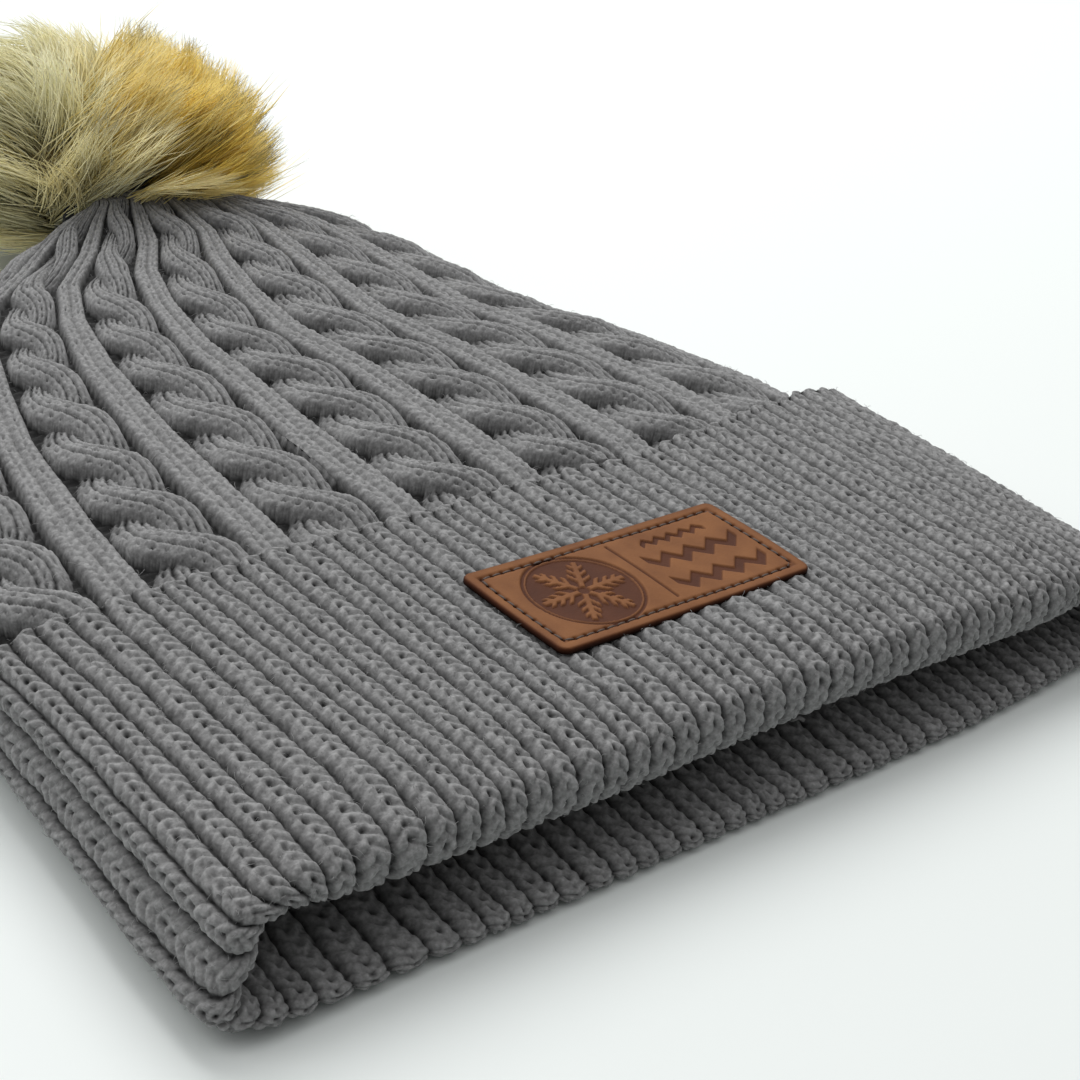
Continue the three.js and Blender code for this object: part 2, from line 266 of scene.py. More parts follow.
def cablePattern(f, along, weight, girth):
    full = crown["span"]  # mm from cable to cable where the crown is widest
    scale = np.clip(girth / crown["cables"] / full, 0.2, 1.0)
    c = f * crown["cables"] - crown["offset"] / full + 0.025 * wobble(f * 30, along * 0.06, 3.0)
    number = np.round(c)
    x = (c - number) * full
    t = along / crown["stitch"]
    turn = np.pi * (along + 7.0 * jitter(number, 0, 5)) / crown["crossing"]
    turn = turn + 0.35 * wobble(number * 1.9, along * 0.05, 6.0)
    radius, swing = crown["strand"], crown["swing"]
    tops, details, paintedShades, lays = [], [], [], []
    for k in (0, 1):
        theta = turn + k * np.pi
        middle = swing * np.sin(theta) * (1 + 0.12 * np.cos(theta) ** 2)
        slope = swing * np.cos(theta) * np.pi / crown["crossing"]
        tilt = 1 / np.sqrt(1 + slope ** 2)
        e = (x - middle) * tilt / (radius * (0.94 + 0.06 * np.cos(theta)))
        top = 0.8 + 1.35 * np.cos(theta) + 2.6 * np.sqrt(np.clip(1 - np.abs(e) ** 2.3, 0, 1))
        top = top - 9 * (np.abs(e) > 1)
        steep = swing * np.pi / crown["crossing"]
        extra = (np.sqrt(1 + steep ** 2) - 1) / 2
        arc = crown["crossing"] / np.pi * (theta * (1 + extra) + extra / 2 * np.sin(2 * theta))
        run = (arc + (x - middle) * slope * tilt) / crown["stitch"] + 0.5 * k
        place = np.clip(np.round(e * 1.5), -1, 1)
        local = e * 1.5 - place
        leg, hole, q = column(local * 0.92, run, number * 6 + place + 3 * k, 2)
        groove = np.exp(-(((0.5 - np.abs(local)) / 0.13) ** 2)) * (np.abs(e) < 0.9)
        details.append(0.24 * (leg - 1) - 0.7 * groove - 0.85 * hole)
        # painted shade in the grooves and holes, and on the strand while it passes under
        paintedShades.append(0.25 * (1 - leg) + 0.75 * groove + 0.95 * hole + 0.45 * np.clip(-np.cos(theta), 0, 1))
        lays.append(np.stack([q + number * 7.3, (run - np.abs(local)) * crown["stitch"], e * 5], axis=-1))
        tops.append(top)
    over = tops[0] > tops[1]
    step = np.abs(tops[0] - tops[1])
    crease = np.exp(-((step / 0.5) ** 2))
    pick = lambda pair: np.where(over, pair[0], pair[1])
    height = np.maximum(tops[0], tops[1]) + pick(details) - 0.9 * crease
    # painted shade along the crease where one strand crosses the other
    paintedShade = pick(paintedShades) + 0.55 * crease
    lay = np.where(over[..., None], lays[0], lays[1])
    # the two plain columns between cables
    w = np.where(x > 0, x, x + full) - full / 2
    ribX = w / (crown["ribWidth"] / 2)
    side = np.where(ribX > 0, 0.5, -0.5)
    local = ribX - side
    leg, hole, q = column(local * 0.95, t, number * 6 + 9 + side, 3)
    dome = np.sqrt(np.clip(1 - (np.abs(local) / 0.54) ** 2, 0, 1))
    rib = 1.1 + 2.1 * dome ** 0.8 + 0.4 * (leg - 1) * dome - 0.75 * hole - 9 * (np.abs(ribX) > 1.04)
    use = rib > height
    height = np.where(use, rib, height)
    # painted shade between the plain columns and in their holes
    paintedShade = np.where(use, 0.9 * (1 - dome ** 0.7) + 0.2 * (1 - leg) + 0.75 * hole, paintedShade)
    ribLay = np.stack([q + number * 5.1, (t - np.abs(local)) * crown["stitch"], local * 5], axis=-1)
    lay = np.where(use[..., None], ribLay, lay)
    floor = 0.35 + 0.25 * np.cos(2 * np.pi * t)
    bare = height < floor
    height = np.where(bare, floor, height)
    # painted shade on the bare floor between the cables
    paintedShade = np.where(bare, 0.95, paintedShade)
    place = f * 440  # mm round the crown
    height = height + 0.08 * lattice(place / 0.6, along / 0.6, 23)
    height = height + 0.12 * lattice(place / 1.8, along / 2.4, 24)
    relief = (np.clip(height, 0, 4.9) - 4.75) * crown["valley"] / 4.75 * (0.4 + 0.6 * scale)
    return relief * weight, np.clip(paintedShade, 0, 1), lay


# a closed piece of knit from f0 to f1 round the tube: a row is [y, depth, along, weight, side, sunk]
def knitPiece(name, rows, f0, f1, columns, shape, pattern, nodes, blended=False):
    rows = np.array([list(r) + [0] * (6 - len(r)) for r in rows], float)
    count = len(rows)
    f = np.linspace(f0, f1, columns)
    points = np.zeros((columns, count, 3))
    girth = np.zeros(count)
    for j, (y, depth) in enumerate(rows[:, :2]):
        points[:, j, 0], points[:, j, 1], points[:, j, 2], girth[j] = shape(f, y, depth)
    normals = gridNormals(points)
    if np.sum(normals[:, 0] * (points[:, 0] - [0, rows[0, 0], cuff["middle"]])) < 0:
        normals = -normals
    sunk = rows[:, 5]
    outer = np.flatnonzero((sunk == 0) & (rows[:, 4] == 0))
    for j in np.flatnonzero(sunk > 0):
        k = outer[np.argmin(np.abs(rows[outer, 0] - rows[j, 0]))]
        points[:, j], normals[:, j] = points[:, k], normals[:, k]
        rows[j, 2:4] = rows[k, 2:4]
        girth[j] = girth[k]
    ff = np.repeat(f[:, None], count, axis=1)
    relief, paintedShade, yarn = pattern(ff, rows[None, :, 2] + 0 * ff, rows[None, :, 3] + 0 * ff,
                                 girth[None, :] + 0 * ff)
    # the hidden side lies below the outer one, and meets it in the first and last column
    relief[1:-1] = np.where(sunk > 0, -sunk, relief[1:-1])
    points += normals * relief[..., None]
    points[..., 2] = np.maximum(points[..., 2], 0.05)
    points[:, -1] = points[:, 0]
    points[..., 1] += mouthY
    mesh = bpy.data.meshes.new(name)
    work = bmesh.new()
    bmesh.ops.create_grid(work, x_segments=columns - 1, y_segments=count - 1, size=1)
    work.to_mesh(mesh)
    work.free()
    flat = np.empty(len(mesh.vertices) * 3)
    mesh.vertices.foreach_get("co", flat)
    flat = flat.reshape(-1, 3)
    i = np.rint((flat[:, 0] + 1) / 2 * (columns - 1)).astype(int)
    j = np.rint((flat[:, 1] + 1) / 2 * (count - 1)).astype(int)
    mesh.vertices.foreach_set("co", (points[i, j] * mm).ravel())
    # the painted shade rides on the mesh as a point attribute
    mesh.attributes.new("paintedShade", "FLOAT", "POINT").data.foreach_set("value", paintedShade[i, j].astype(np.float32))
    lay = mesh.attributes.new("yarn", "FLOAT_VECTOR", "POINT")
    lay.data.foreach_set("vector", yarn[i, j].astype(np.float32).ravel())
    closeUp(mesh)
    shown = np.flatnonzero((sunk == 0) & (rows[:, 3] > 0.5) & (rows[:, 1] < 6))
    fuzzBeds[name] = (points[:, shown] * mm, normals[:, shown])
    return finished(name, mesh, knitGrey, None if blended else "hat", nodes)


# merges the loop's two ends, caps the sides and turns the faces out
def closeUp(mesh):
    work = bmesh.new()
    work.from_mesh(mesh)
    edge = [v for v in work.verts if v.is_boundary]
    bmesh.ops.remove_doubles(work, verts=edge, dist=1e-7)
    bmesh.ops.holes_fill(work, edges=[e for e in work.edges if e.is_boundary], sides=0)
    bmesh.ops.recalc_face_normals(work, faces=work.faces)
    work.to_mesh(mesh)
    work.free()
    mesh.update()


def cuffShape(f, y, depth):
    a, b = cuff["halfWidth"], cuff["halfHeight"]
    x, z, girth = outlinePoints(f, a, b, cuff["squareness"])
    # the upper lip is fuller and sags towards the table
    top = smoothstep(0.245, 0.17, np.abs((f + 0.5) % 1.0 - 0.5))
    under = 1 - smoothstep(0.29, 0.22, np.abs((f + 0.5) % 1.0 - 0.5))
    if depth > 0:
        innerX = x * (1 - depth / a * smoothstep(0.8, 1.0, np.abs(x) / a))
        innerZ = outlinePoints(f, a - depth, b - depth, cuff["squareness"])[1]
        full = 1 + (0.36 * top - 0.42 * under) * smoothstep(26, 4, y)
        x, z = x + (innerX - x) * full, z + (innerZ - z) * full
    sag = cuff["droop"] * top * smoothstep(16, -1, y)
    wave = 0.5 * np.sin(x * 0.055 + 0.6) * top * smoothstep(80, 0, y)
    # the layer on the table lies wider and reaches a little further out at the mouth
    low = smoothstep(2, -8, z)
    x = x + np.sign(x) * np.abs(x / a) ** 4 * cuff["spread"] * low * smoothstep(90, 50, y)
    edge = 0.9 * wobble(f * 70, 0.0, 9.0) + 0.45 * np.cos(2 * np.pi * f * cuff["ribs"])
    ragged = smoothstep(62, 73, y) * edge
    reach = cuff["reach"] * (1 + 0.1 * smoothstep(-70, -104, x) - 0.5 * smoothstep(45, 100, x))
    y = y - reach * under * smoothstep(34, 0, y) + ragged
    # worn unevenly: turned up higher at its right-hand end, and drawn in there at the mouth
    y = y + cuff["uneven"] * smoothstep(30, 108, x) * smoothstep(38, 73, y)
    x = x - cuff["drawnIn"] * smoothstep(70, 110, x) * smoothstep(60, 10, y)
    # its other end spreads out at the mouth
    x = x - cuff["corner"] * smoothstep(-72, -104, x) * smoothstep(62, 2, y) * (0.6 + 0.4 * low)
    # the patch holds the ribs flat under it
    held = smoothstep(31, 28.5, np.abs(x - patch["x"])) * smoothstep(14, 11.5, np.abs(y - patch["y"]))
    held = held * top * (depth == 0)
    return x, y, np.maximum(z + cuff["middle"] - sag + wave - cuff["pressed"] * held, 0.0), girth


def crownShape(f, y, depth):
    a, b, middle, shift = [np.interp(y, crownOutline[:, 0], crownOutline[:, k]) for k in (1, 2, 3, 4)]
    x, z, girth = outlinePoints(f, a - depth, max(b - depth, 0.5), crown["squareness"])
    return x + shift, y + 0 * x, np.maximum(z + middle, 0.0), girth


def spread(a, b, step):
    count = max(2, int(round(abs(b - a) / step)) + 1)
    return np.linspace(a, b, count)


# the cuff's loop: free edge, outside, fold, inside, and back between its two layers
def cuffRows(outStep, foldStep, inStep, inDepth):
    r = cuff["fold"]
    depth = cuff["depth"]
    rows = []
    for y in spread(depth, r, outStep):
        rows.append([y, 0, y, smoothstep(depth + 0.6, depth - 1.2, y), 0])
    arc = math.pi * r
    for s in spread(0, arc, foldStep)[1:]:
        turn = s / r
        rows.append([r - r * math.sin(turn), r - r * math.cos(turn), r - s, 1, s / arc])
    for y in spread(r, inDepth, inStep)[1:]:
        rows.append([y, 2 * r, r - arc - (y - r), 1, 1])
    for y in spread(inDepth, depth - 3, 3.0)[1:]:
        rows.append([y, 2 * r, r - arc - (y - r), smoothstep(inDepth + 8, inDepth, y), 1])
    rows.append([depth - 2.6, r + 3, 0, 0, 1])
    rows.append([depth - 3, r + 0.3, 0, 0, 1])
    for y in spread(depth - 6, r + 2, 9.0):
        rows.append([y, r + 0.25, 0, 0, 1])
    rows.append([r + 1.6, r, 0, 0, 1])
    for y in spread(r + 2, depth - 2, 9.0):
        rows.append([y, r - 0.2, 0, 0, 0])
    for turn in (0.0, 0.5, 1.0, 1.5):
        lip = (r - 0.2) * (1 - turn / 1.6) + 0.4 * turn / 1.6
        rows.append([depth - 1 + math.sin(turn), lip, depth, 0.2, 0])
    rows.append(rows[0])
    return rows


def cuffLook(f, along, weight, girth):
    relief, paintedShade, yarn = cuffPattern(f, along, weight, 0.0)
    # painted shade only where the knit's pattern is shown
    return relief, paintedShade * (weight > 0.1), yarn


def crownLook(f, along, weight, girth):
    return cablePattern(f, along, weight, girth)


def valley(f):
    return (round(f * cuff["ribs"] - 0.5) + 0.5) / cuff["ribs"]


fine = 1.0
fuzzBeds = {}  # where loose fibres can stand, by piece

# cuff: three pieces over the top, two underneath
topCuts = [valley(v) for v in (-0.262, -0.09, 0.09, 0.262)]
lowCuts = [valley(v) for v in (0.262, 0.5, 0.738)]
lowCuts[0], lowCuts[-1] = topCuts[-1], topCuts[0] + 1
names = ["cuff_front_left", "cuff_front_middle", "cuff_front_right"]
for k, name in enumerate(names):
    rows = cuffRows(cuff["grid"] * 1.06 * fine, 0.34 * fine, 0.6 * fine, 22)
    wide = int((topCuts[k + 1] - topCuts[k]) * cuff["girth"] / (cuff["grid"] * fine))
    knitPiece(name, rows, topCuts[k], topCuts[k + 1], wide, cuffShape, cuffLook,
              ["cuff_turn_up", "cuff_inner_band"])
for k, name in enumerate(["cuff_back_right", "cuff_back_left"]):
    rows = cuffRows(0.85 * fine, 0.36 * fine, 0.45 * fine, 42)
    wide = int((lowCuts[k + 1] - lowCuts[k]) * cuff["girth"] / (0.44 * fine))
    knitPiece(name, rows, lowCuts[k], lowCuts[k + 1], wide, cuffShape, cuffLook,
              ["cuff_turn_up", "cuff_inner_band"])
print("cuff knitted")


# the crown's loop: outside from under the cuff to the gathered tip, and back along the inside
def crownRows(step):
    length = crown["length"]
    rows = []
    for y in spread(68, length, step):
        rows.append([y, 0, -y, smoothstep(67, 74, y) * (1 - 0.75 * smoothstep(206, 216, y)), 0])
    rows.append([length + 0.6, 2.5, -length, 0.0, 0])
    rows.append([length + 0.4, 5.0, -length, 0.0, 0])
    for y in spread(length - 1.5, 70, 4.5):
        rows.append([y, 0, 0, 0, 1, crown["wall"] * (0.6 if y > length - 4 else 1)])
    rows.append(rows[0])
    return rows


cableOffset = crown["offset"] / crown["span"] / crown["cables"]


def betweenCables(k):
    return cableOffset + (k + 0.5) / crown["cables"] - crown["cut"] / crown["span"] / crown["cables"]


crownPieces = [("crown_front_left", -4, -1, 0.42), ("crown_front_middle", -1, 1, 0.40),
               ("crown_front_right", 1, 4, 0.42), ("crown_back_right", 4, 7, 0.66),
               ("crown_back_left", 7, 11, 0.66)]
for name, first, last, step in crownPieces:
    f0, f1 = betweenCables(first), betweenCables(last)
    wide = int((f1 - f0) * crown["girth"] / (step * fine))
    piece = knitPiece(name, crownRows(step * fine), f0, f1, wide, crownShape, crownLook,
                      ["crown_body", "crown_tip"], blended=True)
    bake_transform(piece)
print("crown knitted")


# one three-sided strand with so many rings, repeated on the spot
def strandTemplate(count, cuts):
    work = bmesh.new()
    bmesh.ops.create_cone(work, cap_ends=True, segments=3, radius1=1, radius2=1, depth=2)
    for z in cuts:
        bmesh.ops.bisect_plane(work, geom=work.verts[:] + work.edges[:] + work.faces[:],
                               plane_co=(0, 0, z), plane_no=(0, 0, 1))
    bmesh.ops.recalc_face_normals(work, faces=work.faces)
    mesh = bpy.data.meshes.new("strand")
    work.to_mesh(mesh)
    work.free()
    one = bpy.data.objects.new("strand", mesh)
    bpy.context.scene.collection.objects.link(one)
    repeat = one.modifiers.new("repeat", "ARRAY")
    repeat.count = count
    repeat.use_relative_offset = False
    repeat.use_constant_offset = True
    repeat.constant_offset_displace = (0, 0, 0)
    bpy.context.view_layer.update()
    many = bpy.data.meshes.new_from_object(one.evaluated_get(bpy.context.evaluated_depsgraph_get()))
    bpy.data.objects.remove(one)
    return many


def unit(v):
    return v / np.maximum(np.linalg.norm(v, axis=-1, keepdims=True), 1e-9)


# moves the repeated strands onto their paths: path is strand, ring, xyz in mm, thick is strand, ring
def layStrands(many, path, thick, dice):
    rings = path.shape[1]
    along = unit(np.gradient(path, axis=1))
    across = unit(np.cross(along, unit(dice.normal(size=(len(path), 1, 3)))))
    other = np.cross(along, across)
    co = np.empty(len(many.vertices) * 3)
    many.vertices.foreach_get("co", co)
    co = co.reshape(len(path), -1, 3)
    level = np.rint((co[0, :, 2] + 1) / 2 * (rings - 1)).astype(int)
    turn = np.arctan2(co[0, :, 1], co[0, :, 0])[None, :, None]
    place = path[:, level] + thick[:, level, None] * (np.cos(turn) * across[:, level]
                                                      + np.sin(turn) * other[:, level])
    many.vertices.foreach_set("co", (place * mm).ravel())
    many.update()
    return level


looseFibres = {"cuff": 4500, "crown": 4000, "radius": 0.045}


# loose wool fibres standing off the knit
def fuzz(name, beds, count, seed, nodes, blended):
    dice = np.random.default_rng(seed)
    many = strandTemplate(count, (0.0,))
    roots, ways = [], []
    share = np.array([fuzzBeds[bed][0].shape[0] for bed in beds], float)
    split = np.floor(count * share / share.sum()).astype(int)
    split[-1] = count - split[:-1].sum()
    for bed, part in zip(beds, split):
        points, normals = fuzzBeds[bed]
        i, j = dice.integers(0, points.shape[0], part), dice.integers(0, points.shape[1], part)
        roots.append(points[i, j] / mm)
        ways.append(normals[i, j])
    root, normal = np.concatenate(roots), np.concatenate(ways)
    side = unit(np.cross(normal, dice.normal(size=root.shape)))
    length = 0.7 + 1.3 * dice.random((count, 1)) ** 2
    middle = root + normal * (0.12 + 0.30 * dice.random((count, 1))) * length + side * 0.45 * length
    turned = unit(side + 0.9 * np.cross(normal, side) * (dice.random((count, 1)) - 0.5) * 2)
    end = middle + turned * 0.5 * length + normal * (0.28 * dice.random((count, 1)) - 0.12) * length
    path = np.stack([root - 0.1 * normal, middle, end], axis=1)
    path[..., 2] = np.maximum(path[..., 2], 0.1)
    layStrands(many, path, np.full((count, 1), looseFibres["radius"]) * np.array([[1.0, 0.9, 0.5]]), dice)
    many.name = name
    piece = finished(name, many, fibreGrey, None if blended else "hat", nodes)
    if blended:
        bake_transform(piece)


# stray fibres: pale and dull, they soften the knit's outline
fibreGrey = surface("Loose_grey_fibre", "#9a9a9a", 0.9)[0]
thinned = 1.0
fuzz("cuff_fuzz", ["cuff_front_left", "cuff_front_middle", "cuff_front_right"],
     int(looseFibres["cuff"] * thinned), 5, ["cuff_turn_up"], False)
fuzz("crown_fuzz", ["crown_front_left", "crown_front_middle", "crown_front_right"],
     int(looseFibres["crown"] * thinned), 6, ["crown_body"], True)
print("fibres raised")


def fromWork(work, name, material, body, nodes):
    bmesh.ops.recalc_face_normals(work, faces=work.faces)
    mesh = bpy.data.meshes.new(name)
    work.to_mesh(mesh)
    work.free()
    return finished(name, mesh, material, body, nodes)


# distance inside a rounded rectangle, in mm
def insideRectangle(x, y, width, height, corner):
    dx = np.abs(x) - (width / 2 - corner)
    dy = np.abs(y) - (height / 2 - corner)
    outside = np.hypot(np.maximum(dx, 0), np.maximum(dy, 0))
    return corner - outside - np.minimum(np.maximum(dx, dy), 0)


# where the needle holes are, round the patch
def stitchLine():
    w, h, r = patch["width"] / 2 - patch["inset"], patch["height"] / 2 - patch["inset"], 1.0
    line = []
    across, up = w - r, h - r
    for cx, cy, start in ((across, up, 90), (across, -up, 0), (-across, -up, -90), (-across, up, -180)):
        for turn in (start, start - 30, start - 60, start - 90):
            line.append((cx + r * math.cos(math.radians(turn)), cy + r * math.sin(math.radians(turn))))
    line = np.array(line + line[:1])
    length = np.concatenate([[0], np.cumsum(np.hypot(*np.diff(line, axis=0).T))])
    count = int(round(length[-1] / patch["stitch"]))
    s = np.linspace(0, length[-1], count, endpoint=False)
    return np.stack([np.interp(s, length, line[:, k]) for k in (0, 1)], axis=1)


# how the patch lies: over the ribs, a little lifted at its corners
def patchBed(x, y):
    return 0.35 * np.cos(x * 0.16 + 0.6) * np.cos(y * 0.12) + 0.25 * (x / 30.5) ** 2 - 0.5


# height of the stamped device: a roundel with a six-armed flake, a bar and rows of chevrons
def stamped(x, y):
    press = np.zeros(x.shape)
    cx = x + patch["width"] / 2 - 16.8
    r = np.hypot(cx, y)
    turn = np.arctan2(y, cx)
    press = np.maximum(press, smoothstep(11.2, 10.9, r))
    ring = smoothstep(0.22, 0.1, np.abs(r - 10.3))
    arm = np.abs((turn + np.pi / 6) % (np.pi / 3) - np.pi / 6)
    ax, ay = r * np.cos(arm), r * np.sin(arm)
    flake = smoothstep(0.62, 0.4, ay) * smoothstep(9.4, 9.1, ax) * smoothstep(0.9, 1.3, r)
    for start in (2.6, 4.7, 6.7):
        branch = np.abs((ax - start) - ay * 1.0)
        flake = np.maximum(flake, smoothstep(0.62, 0.42, branch) * smoothstep(2.6, 2.3, ay + 0.16 * start))
    press = press * (1 - np.maximum(ring * 0.8, flake))
    bx = x + patch["width"] / 2 - 30.6
    press = np.maximum(press, smoothstep(0.34, 0.2, np.abs(bx)) * smoothstep(9.6, 9.3, np.abs(y)))
    sx = x + patch["width"] / 2 - 45.2
    for middle, tall, wide, pitch in ((7.3, 2.6, 8.0, 3.2), (1.4, 5.0, 11.4, 5.7), (-6.2, 5.0, 11.4, 5.7)):
        row = y - middle
        zig = (np.abs((sx / pitch) % 1.0 - 0.5) * 2 - 0.5) * tall * 0.55
        band = smoothstep(0.28 * tall, 0.2 * tall, np.abs(row - zig))
        press = np.maximum(press, band * smoothstep(wide + 0.1, wide - 0.15, np.abs(sx)))
    return press


# vegetable-tanned leather: matte tan, darker where stamped and along the cut edge, with painted shade in the
# needle holes and on the underside
def leatherMaterial():
    material, tree, shader = surface("Matte_tan_leather", "#70452b", 0.7)
    shader.inputs["Specular IOR Level"].default_value = 0.18
    place = addNode(tree, "ShaderNodeTexCoord")
    # the pressed value holds the leather's own darkening where stamped, tooled and cut, and painted shade in
    # the needle holes and underneath
    pressed = addNode(tree, "ShaderNodeAttribute", {"attribute_name": "pressed"})
    cloud = addNode(tree, "ShaderNodeTexNoise", {"Scale": 160.0, "Detail": 4.0},
                    {"Vector": place.outputs["Object"]})
    tone = ramp(tree, cloud.outputs["Fac"], [(0.3, "#744827"), (0.7, "#865731")])
    shade = ramp(tree, pressed.outputs["Fac"], [(0.0, "#ffffff"), (0.55, "#a58d88"), (1.0, "#54382c")])
    mixed = addNode(tree, "ShaderNodeMix", {"data_type": "RGBA", "blend_type": "MULTIPLY"})
    mixed.inputs[0].default_value = 1.0
    tree.links.new(tone.outputs["Color"], mixed.inputs[6])
    tree.links.new(shade.outputs["Color"], mixed.inputs[7])
    tree.links.new(mixed.outputs[2], shader.inputs["Base Color"])
    grain = addNode(tree, "ShaderNodeTexVoronoi", {"Scale": 1900.0}, {"Vector": place.outputs["Object"]})
    bump = addNode(tree, "ShaderNodeBump", {"Strength": 0.22, "Distance": 0.00012},
                   {"Height": grain.outputs["Distance"]})
    tree.links.new(bump.outputs["Normal"], shader.inputs["Normal"])
    return material


def leatherPatch():
    wide, tall, corner = patch["width"], patch["height"], patch["corner"]
    columns, lines = int(wide / patch["grid"]), int(tall / patch["grid"])
    work = bmesh.new()
    bmesh.ops.create_grid(work, x_segments=columns, y_segments=lines, size=1)
    rim = [e for e in work.edges if e.is_boundary]
    skirt = bmesh.ops.extrude_edge_only(work, edges=rim)["geom"]
    skirt = [v for v in skirt if isinstance(v, bmesh.types.BMVert)]
    for v in skirt:
        v.co.z = -1
    bmesh.ops.holes_fill(work, edges=[e for e in work.edges if e.is_boundary], sides=0)
    bmesh.ops.recalc_face_normals(work, faces=work.faces)
    mesh = bpy.data.meshes.new("leather_patch_shell")
    work.to_mesh(mesh)
    work.free()
    co = np.empty(len(mesh.vertices) * 3)
    mesh.vertices.foreach_get("co", co)
    co = co.reshape(-1, 3)
    x, y, under = co[:, 0] * wide / 2, co[:, 1] * tall / 2, co[:, 2] < -0.5
    dx, dy = np.abs(x) - (wide / 2 - corner), np.abs(y) - (tall / 2 - corner)
    both = (dx > 0) & (dy > 0)
    k = np.where(both, np.maximum(dx, dy) / np.maximum(np.hypot(dx, dy), 1e-9), 1)
    x = np.where(both, np.sign(x) * (wide / 2 - corner + dx * k), x)
    y = np.where(both, np.sign(y) * (tall / 2 - corner + dy * k), y)
    inside = insideRectangle(x, y, wide, tall, corner)
    press = stamped(x, y)
    groove = np.exp(-(((inside - patch["inset"]) / 0.42) ** 2))
    holes = np.zeros(x.shape)
    for px, py in stitchLine():
        holes = np.maximum(holes, np.exp(-((np.hypot(x - px, y - py) / 0.32) ** 2)))
    edge = 0.4 * (1 - np.sqrt(np.clip(1 - (1 - np.clip(inside / 0.55, 0, 1)) ** 2, 0, 1)))
    relief = -0.34 * press - 0.3 * groove - 0.55 * holes - edge
    z = patch["base"] + patch["thick"] + patchBed(x, y) + relief
    z = np.where(under, patch["base"] + patchBed(x, y), z)
    # darker where stamped, in the tooled groove and at the cut edge as the leather's own colour; painted
    # shade in the needle holes
    shade = np.clip(0.55 * press + 0.3 * groove + 0.9 * holes + 0.75 * np.exp(-inside / 0.3), 0, 1)
    # painted shade: the underside, lying on the knit, is darkest
    shade = np.where(under, 1.0, shade)
    mesh.attributes.new("pressed", "FLOAT", "POINT").data.foreach_set("value", shade.astype(np.float32))
    place = np.stack([x + patch["x"], y + patch["y"] + mouthY, z], axis=1) * mm
    mesh.vertices.foreach_set("co", place.ravel())
    mesh.update()
    finished("leather_patch_shell", mesh, leatherMaterial(), "hat", ["leather_patch"])


def patchThread():
    work = bmesh.new()
    places = stitchLine()
    count = len(places)
    for k in range(count):
        a, b = places[k], places[(k + 1) % count]
        middle, run = (a + b) / 2, b - a
        length = math.hypot(*run)
        z = patch["base"] + patch["thick"] + patchBed(*middle) - 0.3
        turn = Matrix.Rotation(math.atan2(run[1], run[0]) + 0.05, 4, "Z")
        size = Matrix.Diagonal((length * 0.44, 0.3, 0.26, 1))
        spot = Matrix.Translation((middle[0] + patch["x"], middle[1] + patch["y"] + mouthY, z))
        bmesh.ops.create_uvsphere(work, u_segments=10, v_segments=7, radius=1, matrix=spot @ turn @ size)
    bmesh.ops.scale(work, verts=work.verts, vec=(mm, mm, mm))
    # waxed thread: dark brown with a faint shine
    fromWork(work, "patch_thread", surface("Waxed_brown_thread", "#3e281b", 0.6)[0], "hat",
             ["patch_stitching"])


leatherPatch()
patchThread()
print("patch sewn on")


# a yarn laid along a path of mm points, as a round tube
def yarnPiece(name, path, radius, material, body, nodes, closed=False):
    curve = bpy.data.curves.new(name, "CURVE")
    curve.dimensions = "3D"
    curve.bevel_depth = radius * mm
    curve.bevel_resolution = 2
    curve.use_fill_caps = True
    line = curve.splines.new("POLY")
    line.points.add(len(path) - 1)
    for point, (x, y, z) in zip(line.points, path):
        point.co = (x * mm, (y + mouthY) * mm, z * mm, 1)
    line.use_cyclic_u = closed
    made = bpy.data.objects.new(name, curve)
    bpy.context.scene.collection.objects.link(made)
    curve.materials.append(material)
    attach(made, body)
    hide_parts(*nodes)


# plain yarn: matte, one even grey
yarnGrey = surface("Grey_acrylic_yarn", "#7b7a7a", 0.9)[0]
bandFloor = cuff["middle"] - cuff["halfHeight"] + 2 * cuff["fold"]


# a seam sewn over and over inside the back of the hat
def overcast(name, start, end, floor, nodes):
    path = []
    for k in range(int((end - start) / 0.45)):
        y = start + k * 0.45
        path.append((14 + 1.1 * math.sin(y * 2 * math.pi / 2.6), y, floor + 0.75 + 0.35 * math.cos(y * 4.8)))
    yarnPiece(name, path, 0.45, yarnGrey, "hat", nodes)


overcast("cuff_seam", 6, 71, bandFloor, ["cuff_seam_yarn"])
overcast("crown_seam", 77, 178, 5.4, ["crown_seam_yarn"])


# a slightly wavy ring about the snap's axis
def ringPath(rx, rz, y, wave):
    path = []
    for k in range(96):
        turn = k / 96 * 2 * math.pi
        swell = 1 + wave * math.sin(turn * 12)
        path.append((pom["x"] + rx * swell * math.cos(turn), pom["y"] + y + 0.2 * math.sin(turn * 12),
                     pom["z"] + rz * swell * math.sin(turn)))
    return path


yarnPiece("tip_gather", ringPath(10, 6.6, 0.95, 0.03), 0.55, yarnGrey, "crown_tip",
          ["tip_gather_yarn"], True)
yarnPiece("pom_gather", ringPath(8, 8, 8.2, 0.03), 0.55, yarnGrey, "pom",
          ["pom_gather_yarn"], True)


# pressed wool felt: dull, slightly hairy, one dark grey
def feltMaterial():
    material, tree, shader = surface("Pressed_dark_felt", "#3c3d40", 0.95)
    place = addNode(tree, "ShaderNodeTexCoord")
    nap = addNode(tree, "ShaderNodeTexNoise", {"Scale": 1500.0, "Detail": 4.0},
                  {"Vector": place.outputs["Object"]})
    bump = addNode(tree, "ShaderNodeBump", {"Strength": 0.6, "Distance": 0.0002},
                   {"Height": nap.outputs["Fac"]})
    tree.links.new(bump.outputs["Normal"], shader.inputs["Normal"])
    return material


feltGrey = feltMaterial()


